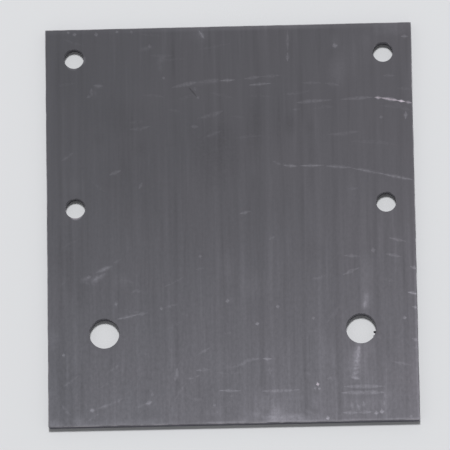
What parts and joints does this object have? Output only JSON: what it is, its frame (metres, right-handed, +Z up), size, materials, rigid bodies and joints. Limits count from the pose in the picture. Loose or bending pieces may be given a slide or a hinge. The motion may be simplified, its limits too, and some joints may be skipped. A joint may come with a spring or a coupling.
{
  "type": "rectangular cover plate",
  "caption": "Flat rectangular cover plate cut from metal bar, with small screw holes near its sides and a row of larger holes near one end.",
  "frame": {"origin": "centre of the underside, on the surface that the plate lies on", "axes": "+X across the bar, +Y along the bar towards the end with the pair of screw holes, +Z up out of the outer face"},
  "size_m": [0.1016, 0.1114, 0.0032],
  "materials": {
    "plate": "mill finish flat bar, dull grey, with fine lines along the bar and bright scratches"
  },
  "bodies": {
    "root": {"cover_plate": "plate"}
  },
  "joints": []
}
